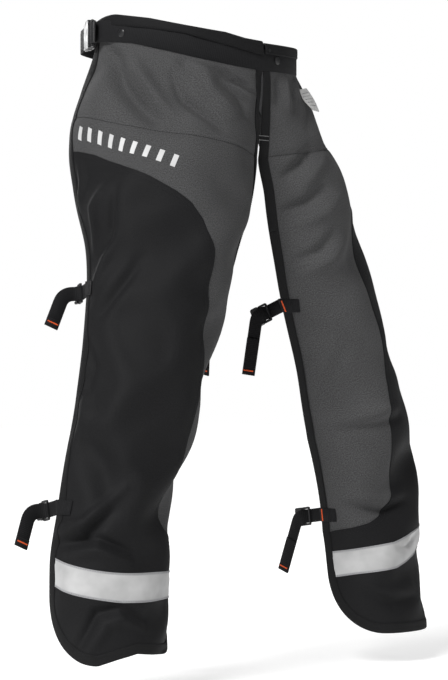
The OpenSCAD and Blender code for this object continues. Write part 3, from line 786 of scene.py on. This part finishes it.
def build_binding(leg, part):
    """Edge tape folded over the cloth and its lining."""
    rings_all, st_lines = [], []
    for path in edge_path(part):
        h, u = path[:, 0], path[:, 1]
        p, n = leg.at(h, across(h, u))
        out = np.cross(n, unit(np.gradient(p, axis=0)))
        level_with = np.minimum(h, 900)
        middle, _ = leg.at(level_with, across(level_with, 0.5))
        out = out * np.sign(((p - middle) * out).sum())
        pad = padded(h, u)
        low = -2.2 + (LINING_EDGE + 2.0) * pad
        high = 0.25 + 1.05 * smooth(h, 205, 250)
        mid, rad = (high + low) / 2, (high - low) / 2 + TAPE_THICK
        wider = np.where(u > 0.5, 1 + 0.5 * smooth(300 - h, 0, 80), 1.0)[:, None]
        arms = []
        for w in TAPE_ARMS:
            hi, ai = step_in(leg, h, across(h, u), out, w * wider)
            sink = smooth(w, 2, LINING_RAMP) * (LINING_OUT - LINING_EDGE) * pad
            arms.append((w, *leg.at(hi, ai), low + sink))
            if w == TAPE_ARMS[1]:
                st_lines.append(np.stack([hi, ai, high + 0.95], -1))
        # outside in to the edge, round it, back under the lining, and along the inner faces
        prof = [q + nn * (high + TAPE_THICK + 0.3 * math.sin(math.pi * min(1, w / TAPE_ARMS[0])))[:, None]
                for w, q, nn, _ in arms]
        for ang in np.linspace(80, -80, 9):
            c, sn = turned(ang)
            prof.append(p + out * (c * rad)[:, None] + n * (mid + sn * rad)[:, None])
        prof += [q + nn * (under - 0.55)[:, None] for _, q, nn, under in arms[::-1]]
        prof += [q + nn * under[:, None] for _, q, nn, under in arms]
        prof += [q + nn * high[:, None] for _, q, nn, _ in arms[::-1]]
        rings_all.append(np.stack(prof, 1))
    ob = loft_mesh(f"{part}_binding_{leg.name}_tape", [leg.world(r) for r in rings_all], [TAPE])
    st = stitch_mesh(leg, f"{part}_binding_stitches_{leg.name}", st_lines, THREAD, thick=0.5)
    if part == "hip":
        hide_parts(f"upper_binding_{leg.name}")
    else:
        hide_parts(f"thigh_binding_{leg.name}", f"shin_binding_{leg.name}")
    CROSS[part](ob, leg), CROSS[part](st, leg)


# ---- webbing
def refine(points, step, passes=5):
    """The polyline sampled every step mm, its corners rounded."""
    p = np.asarray(points, float)
    s = run_length(p[:, :3])
    t = np.linspace(0, s[-1], max(4, int(s[-1] / step) + 1))
    q = np.stack([np.interp(t, s, p[:, k]) for k in range(p.shape[1])], -1)
    for _ in range(passes):
        q[1:-1] = (q[:-2] + 2 * q[1:-1] + q[2:]) / 4
    return q


def ribbon(points, widths, wide, thick):
    """Rings of a flat strap with soft edges: points and width directions in mm."""
    t = unit(np.gradient(points, axis=0))
    n = unit(np.cross(t, widths))
    w = np.cross(n, t)
    a, b = wide / 2, thick / 2
    half = [(a - 0.55, b), (a - 0.1, b * 0.6), (a, 0), (a - 0.1, -b * 0.6), (a - 0.55, -b), (0, -b)]
    prof = half + [(-x, -y) for x, y in half]
    return np.stack([points + w * x + n * y for x, y in prof], 1), n


def belt_mid(phi, left):
    """Drop of the belt's middle line round the waist."""
    low = np.interp(phi, [3, 26, 38, 55, 77, 95, 108], [54, 51, 49, 46, 45, 53, 52])
    return low * (1 - left) + np.interp(phi, [60, 90], [54, 52]) * left - 19


def waist_xy(a, d):
    a = np.radians(a)
    return np.stack([(WAIST_W + d) * np.sin(a), -(WAIST_D + d) * np.cos(a)], -1)


BUCKLE_AT = np.array([-169.2, 99.2])
BUCKLE_WAY, BUCKLE_OUT = np.array([0.549, 0.836]), np.array([-0.836, 0.549])
BELT_WIDE, BELT_THICK, BACK_DROP, FOLD = 38, 2.2, 33.0, 3.4


def by_buckle(s, n=0.0):
    """Plan point s along the belt and n outwards from the buckle's middle."""
    return BUCKLE_AT + s * BUCKLE_WAY + n * BUCKLE_OUT


def belt_run(xy, mid=BACK_DROP):
    """A run of belt on the ring: plan points and the drop of its middle."""
    xy = np.asarray(xy, float)
    left = smooth(xy[:, 0], -100, 100)
    return np.column_stack([xy, -np.asarray(mid, float) + ring_lift(xy[:, 1], left)])


def buckle_run(*places):
    return belt_run([by_buckle(*place) for place in places])


def belt_object(name, runs, node_name, body):
    rings = []
    for points, step in runs:
        q = refine(points, step, 4)
        rings.append(ribbon(q, np.repeat([[0.0, 0, 1]], len(q), 0), BELT_WIDE, BELT_THICK)[0] * MM)
    place(loft_mesh(name, rings, [WEBBING]), "webbing", body, node_name)


def build_belt():
    a = np.arange(108, -93, -2.0)
    left = smooth(waist_xy(a, 1.5)[:, 0], -30, 30)
    front = belt_run(waist_xy(a, 1.5), belt_mid(np.abs(a), left))
    front = np.concatenate([front, belt_run([[-194.6, 28], by_buckle(-50, -FOLD), by_buckle(-37, -FOLD)])])
    second = buckle_run((-66, -1.3), (-54, -1.3), (-45, 2.4), (-37, FOLD))
    fold = buckle_run((-36.6, -4.4), (-34.4, -FOLD), (-33.6, 0), (-34.4, FOLD), (-36.6, 4.4))
    belt_object("belt_front_webbing", [(front, 4), (second, 2), (fold, 1)], "belt_front", "waist")
    end = waist_xy(109, 1.3)
    t = np.linspace(0, 1, 24)[:, None]
    curve = ((1 - t) ** 3 * by_buckle(99) + 3 * (1 - t) ** 2 * t * by_buckle(170)
             + 3 * (1 - t) * t ** 2 * np.array([122, 200]) + t ** 3 * end)
    back = belt_run(np.concatenate([[by_buckle(61), by_buckle(80)], curve]))
    belt_object("belt_back_webbing", [(back, 4)], "belt_back", "waist")
    loop = [(buckle_run((29.5, n), (50, n), (72, n)), 3) for n in (-FOLD, FOLD)]
    turn = buckle_run((29.1, -4.4), (27.2, -FOLD), (26.4, 0), (27.2, FOLD), (29.1, 4.4))
    belt_object("belt_loop_webbing", loop + [(turn, 1)], "belt_loop", "waist_clip")
    # rows of stitches that hold the doubled ends
    parts = []
    for s in (-60, -56):
        z = belt_run([by_buckle(s, 0.4)] * 2, [50, 16])
        parts.append(along_line(z * MM, np.repeat([[*BUCKLE_OUT, 0]], 2, 0), **BOX))
    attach(thread_object("belt_stitches", parts, GREY_THREAD), "waist")


# ---- waistband
def flap_edge(phi, left):
    return np.interp(phi, [1, 20, 47, 67, 103], [27, 20, 11, 14, 26]) * (1 - left) + 24 * left


def band_height(phi, left):
    right = np.interp(phi, [0, 12, 24, 67, 90, 113], [2, 1, -4, -4, 2, 10])
    return right * (1 - left) + np.interp(phi, [0, 60, 113], [5, 5, 12]) * left


def build_waistband(leg):
    a = np.arange(0.9, 113.2, 0.8)
    t, f = band_height(a, leg.left), flap_edge(a, leg.left)
    wave = 0.5 * np.sin(a / 5.3) + 0.35 * np.sin(a / 2.9 + 1)
    # (distance out, drop) up the back, over the top, down the flap, round its edge and back up inside
    prof = [(-3.2, TOP + 0 * t), (-3.4, t + 24), (-3.5, t + 5)]
    for ang in range(180, -1, -20):
        c, s = turned(ang)
        prof.append((0.35 + 3.8 * c, t + 3.4 - 3.4 * s))
    prof += [(4.3 + 0.4 * wave, (t + f) / 2), (4.2 + 0.5 * wave, f - 3.5), (4.1 + 0.5 * wave, f - 0.7),
             (3.6 + 0.5 * wave, f), (3.1 + 0.5 * wave, f - 0.5), (3.0 + 0.4 * wave, f - 4), (3.0, t + 6),
             (1.2, t + 3), (-0.5, t + 5), (-0.6, t + 24), (-0.5, TOP + 0 * t)]

    def at(h, d):
        return surf(h, a, d, leg.left)

    rings = np.stack([at(h, d) for d, h in prof], 1)
    ob = loft_mesh(f"waistband_{leg.name}_cloth", [leg.world(rings)], [BLACK])
    place(ob, "black_fabric", "waist", f"waistband_{leg.name}")
    row = f - 2.6
    n = (at(row, 10) - at(row, 0)) / 10
    lot = along_line(leg.world(at(row, 4.55 + 0.5 * wave)), leg.way(n), thick=0.5)
    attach(thread_object(f"waistband_stitches_{leg.name}", [lot], THREAD), "waist")


# ---- leg straps
# label, drop, edge (0 inner, 1 outer), droop, how far the tail turns down, length of its doubled end
STRAPS = [("knee_inner", 490, 0, 24, 58, 68), ("knee_outer", 468, 1, 12, 65, 18),
          ("calf_inner", 869, 0, 8, 63, 64), ("calf_outer", 832, 1, 12, 65, 18)]
WEB_WIDE, WEB_THICK = 25, 1.6
BOX = {"pitch": 3.2, "length": 2.2}


class Frame:
    """A strap's own axes: x on round past the leg's edge, o outwards, z up; drooping by some degrees."""

    def __init__(self, leg, h, u, droop):
        a, s = float(across(h, u)), -1 if u == 0 else 1
        self.at = surf(h, a + s * math.degrees(6 / level(h)[2]), 1, leg.left)
        (ct, st), (cd, sd) = turned(180 + a if u == 0 else a), turned(droop)
        x, up = np.array([ct, st, 0]), np.array([0, 0, 1.0])
        self.z = x * sd + up * cd
        self.o = np.array([st, -ct, 0]) * s
        self.axes = np.array([x * cd - up * sd, self.o, self.z])

    def point(self, q):
        return self.at + self.way(q)

    def way(self, q):
        return np.asarray(q, float) @ self.axes


def strap_line(inside, turn):
    """Points (x, out, z) and width directions of one strap in its own axes."""
    c, s = turned(turn)
    rows = [(x, o, 0, 0, 0, 1) for x, o in ((0, -2.8), (14, -2.8), (27, -2.8), (31, -0.4), (34, 3))]
    angles = [turned(t) for t in np.linspace(0, turn, 9)]
    if inside:
        # past the buckle the tail bends down within its own plane
        rows.append((37, 5.6, 0, 0, 0, 1))
        rows += [(40 + 15 * sn, 6, 15 * cs - 15, sn, 0, cs) for cs, sn in angles]
        rows += [(40 + 15 * s + d * c, 6 + d / 30, 15 * c - 15 - d * s, s, 0, c)
                 for d in (24.0, 48.5, 73, 97)]
    else:
        # past the buckle the tail turns outwards and falls over
        rows.append((36, 8, 0, 0, 0, 1))
        rows += [(36.5, 13 + 24 * sn, 24 * cs - 24, 0, sn, cs) for cs, sn in angles]
        rows += [(36.5 - d / 20, 13 + 24 * s + d * c, 24 * c - 24 - d * s, 0, s, c)
                 for d in (12.0, 24, 37, 50)]
    return np.array(rows)


def build_straps(leg):
    sewn = {"thigh": ([], [], []), "shin": ([], [], [])}
    for label, h, u, droop, turn, doubled in STRAPS:
        strap, fr = f"{label}_strap_{leg.name}", Frame(leg, h, u, droop)
        q = refine(strap_line(u == 0, turn), 2.0, 3)
        p, w = fr.point(q[:, :3]), fr.way(q[:, 3:])
        rings, n = ribbon(p, w, WEB_WIDE, WEB_THICK)
        face = n * np.sign((n * fr.o).sum(1).mean())
        s = run_length(p)
        near = s > s[-1] - doubled
        # the end of the tail is folded back on itself, against the outer face
        second, _ = ribbon(p[near] + face[near] * 1.7, w[near], WEB_WIDE - 0.6, WEB_THICK)
        ob = loft_mesh(f"{label}_webbing_{leg.name}", [leg.world(rings), leg.world(second)], [WEBBING])
        place(ob, "webbing", strap, strap)
        k = int(np.searchsorted(s, s[-1] - 8.5))
        bar = [bartack(leg.world(p[k] + face[k] * off), leg.way(w[k]), leg.way(face[k] * out), 19, 2.4)
               for off, out in ((2.6, 1), (-0.85, -1))]
        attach(thread_object(f"{label}_tail_bartack_{leg.name}", bar, ORANGE), strap)

        # the sewn end, over the binding and past the edge
        edge, per_mm = float(across(h, u)), (1 if u == 0 else -1) * math.degrees(1 / level(h)[2])
        lift = 1.2 if u == 1 else 0.0
        line = []
        for w_in, d in ((31, 0.9 + lift), (24, 0.95 + lift), (18, 1.3 + lift),
                        (14.5, 3.2), (8, 3.3), (2, 3.2)):
            up, middle, down = leg.at(h + np.array([-12, 0, 12]), edge + w_in * per_mm, d)[0]
            line.append([*middle, *unit(up - down)])
        line += [[*fr.point([-2.6, 1.6, 0]), *fr.z], [*fr.point([0, -1.9, 0]), *fr.z]]
        r = refine(line, 1.5, 3)
        mid, wide = r[:, :3], r[:, 3:]
        rings, n = ribbon(mid, wide, WEB_WIDE, 1.5)
        face = n * np.sign((n * fr.o).sum(1).mean())
        webs, rows, bars = sewn["thigh" if label.startswith("knee") else "shin"]
        webs.append(leg.world(rings))
        if u == 0:
            k = int(len(r) * 0.74)
            bars.append(bartack(leg.world(mid[k] + face[k] * 0.85), leg.way(wide[k]), leg.way(face[k]),
                                21, 2.6))
        # a box of black stitches on the patch
        on, ends = mid + face * 0.9, [int(len(r) * f) for f in (0.05, 0.33)]
        part = slice(*ends)
        for v in (-10, 10):
            rows.append(along_line(leg.world(on[part] + wide[part] * v), leg.way(face[part]), **BOX))
        for k in ends:
            side = leg.world(on[k] + wide[k] * np.array([[-10], [10]]))
            rows.append(along_line(side, leg.way([face[k]] * 2), **BOX))
    for body, (webs, rows, bars) in sewn.items():
        ob, panel = loft_mesh(f"{body}_anchor_webbing_{leg.name}", webs, [WEBBING]), f"{body}_{leg.name}"
        place(ob, "webbing", panel, f"{body}_anchors_{leg.name}")
        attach(thread_object(f"{body}_anchor_stitches_{leg.name}", rows, THREAD), panel)
        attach(thread_object(f"{body}_anchor_bartack_{leg.name}", bars, ORANGE), panel)


# ---- label, bars, crotch
LABEL_THICK, BARS, THIGH_RADIUS = 0.45, 9, 172


def build_label():
    leg = LEGS[LEFT]

    def spot(v, w):
        """Drop, degrees and lift at shares v down and w across the label, which curls off the hip."""
        return 80 + 44 * v + 4 * w, 39 + 11 * w + 0 * v, 0.7 + 13 * w ** 1.6 * (0.45 + 0.55 * v)

    h, a, lift = spot(np.linspace(0, 1, 14)[:, None], np.linspace(0, 1, 12))
    ob = sheet_mesh(leg, "care_label_cloth", h, a, lift, lift + LABEL_THICK, [WHITE])
    place(ob, "label", "waist", "care_label")
    parts = []
    for row in range(5):
        h, a, lift = spot(0.22 + 0.14 * row, np.linspace(0.15, 0.85 - 0.12 * (row % 2), 12))
        p, n = leg.at(h, a, lift + LABEL_THICK)
        parts.append(along_line(leg.world(p), n, pitch=3.0, length=2.4, thick=0.7))
    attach(thread_object("care_label_lines", parts, GREY_THREAD), "waist")


def build_bars():
    """A row of plain slanted reflective bars on the right thigh, above the overlay's edge."""
    leg, per_mm = LEGS[RIGHT], math.degrees(1 / THIGH_RADIUS)
    v, w = np.linspace(0, 1, 9)[:, None], np.linspace(0, 1, 7)
    for k in range(BARS):
        f = k / (BARS - 1)
        h = 214 + 50 * f ** 1.5 - 21 * (1 - v) - 3 * w
        a = 103 - 64 * f - 7 * per_mm * (1 - v) - 8.5 * per_mm * w
        ob = sheet_mesh(leg, f"reflective_bar_{k + 1}", h, a[:, ::-1], 0.02, 0.4, [PRINT])
        cross_hip(ob, leg)


def build_crotch():
    parts = []
    for h in (187, 195):
        (p, m), (q, n) = [leg.at(h, float(inner(h)) + math.degrees(reach / THIGH_RADIUS), 2.0)
                          for leg, reach in ((LEGS[RIGHT], 5), (LEGS[LEFT], 13))]
        p, q = LEGS[RIGHT].world(p), LEGS[LEFT].world(q)
        parts.append(bartack((p + q) / 2 + np.array([0, -0.0006, 0]), q - p, LEGS[RIGHT].way(m) + n,
                             np.linalg.norm(q - p) / MM, 1.6))
    ob = thread_object("crotch_bartack_threads", parts, GREY_THREAD)
    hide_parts("crotch_bartack")
    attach(ob, "waist")


# ---- moulded parts
def softened(node_name, body, width=0.5):
    """A copy of a moulded part with rounded edges, in place of the CAD node."""
    bm = bmesh.new()
    bm.from_mesh(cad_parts[node_name].data)
    bmesh.ops.remove_doubles(bm, verts=bm.verts, dist=1e-6)
    bmesh.ops.dissolve_limit(bm, angle_limit=math.radians(1.5), verts=bm.verts, edges=bm.edges)
    sharp = [e for e in bm.edges if len(e.link_faces) == 2 and e.calc_face_angle(0) > math.radians(30)]
    bmesh.ops.bevel(bm, geom=sharp, offset=width * MM, offset_type="OFFSET", segments=2, profile=0.6,
                    affect="EDGES", clamp_overlap=True)
    bmesh.ops.triangulate(bm, faces=[f for f in bm.faces if len(f.verts) > 4])
    mesh = bpy.data.meshes.new(node_name + "_moulding")
    bm.to_mesh(mesh)
    bm.free()
    mesh.materials.append(PLASTIC)
    mesh.shade_smooth()
    ob = linked(node_name + "_moulding", mesh)
    ob.modifiers.new("flat_faces", "WEIGHTED_NORMAL")
    place(ob, "buckle_plastic", body, node_name)


for leg in LEGS.values():
    build_leg(leg)
    build_overlay(leg)
    build_band(leg)
    build_binding(leg, "hip")
    build_binding(leg, "leg")
    build_waistband(leg)
    build_straps(leg)
    for which, *_ in STRAPS:
        softened(f"{which}_buckle_{leg.name}", f"{which}_strap_{leg.name}")
build_belt()
build_label()
build_bars()
build_crotch()
for part, body in (("waist_buckle_socket", "waist"), ("waist_buckle_clip", "waist_clip"),
                   ("belt_slider", "waist"), ("waist_prong_top", "waist_prong_top"),
                   ("waist_prong_bottom", "waist_prong_bottom")):
    softened(part, body, 0.7)
for part, mat in (("snap_caps", PLASTIC), ("snap_studs", METAL)):
    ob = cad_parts[part]
    ob.data.materials.clear()
    ob.data.materials.append(mat)

# ---- floor, light, camera
FLOOR_Z = -1.14
bpy.ops.mesh.primitive_plane_add(size=30, location=(0, 0, FLOOR_Z))
floor = bpy.context.active_object
floor.name = "floor"
floor_mat, _, _ = principled("floor_paint", (0.6, 0.6, 0.6), 0.9, Emission_Color=(1, 1, 1, 1),
                             Emission_Strength=0.62)
floor.data.materials.append(floor_mat)

world = bpy.data.worlds.new("studio")
SCENE.world = world
world.use_nodes = True
wt = world.node_tree
soft_light = wt.nodes["Background"]
soft_light.inputs["Color"].default_value = (1, 1, 1, 1)
soft_light.inputs["Strength"].default_value = 0.08
backdrop = node(wt, "Background", {"Color": (1, 1, 1, 1), "Strength": 1.0})
seen = node(wt, "LightPath").outputs["Is Camera Ray"]
pick = node(wt, "MixShader", {0: seen, 1: soft_light.outputs[0], 2: backdrop.outputs[0]})
wt.links.new(pick.outputs[0], wt.nodes["World Output"].inputs["Surface"])


def aimed(name, data, place, way):
    """A light or the camera, standing at place and looking along way."""
    ob = linked(name, data)
    ob.location = place
    ob.rotation_euler = Vector(way).to_track_quat("-Z", "Y").to_euler()
    return ob


sun = bpy.data.lights.new("key", "SUN")
sun.energy, sun.angle = 3.6, math.radians(26)
aimed("key", sun, (0, 0, 0), (0.80, 0.15, -0.75))
for name, spot, size, power in (("fill", (0.8, -3.4, 1.2), 1.6, 12), ("rim", (1.0, 3.4, 1.2), 2.0, 60)):
    light = bpy.data.lights.new(name, "AREA")
    light.shape, light.size, light.energy = "SQUARE", size, power
    aimed(name, light, spot, Vector((0, 0, -0.5)) - Vector(spot))

lens = bpy.data.cameras.new("camera")
lens.lens, lens.sensor_width, lens.clip_end = 125.3, 36, 100
EL = math.radians(0.85)
LEVEL_WAY = math.cos(EL) * math.sqrt(0.5)
SCENE.camera = aimed("camera", lens, (-2.976, -3.048, -0.614), (LEVEL_WAY, LEVEL_WAY, math.sin(EL)))
SCENE.view_settings.view_transform = "Standard"
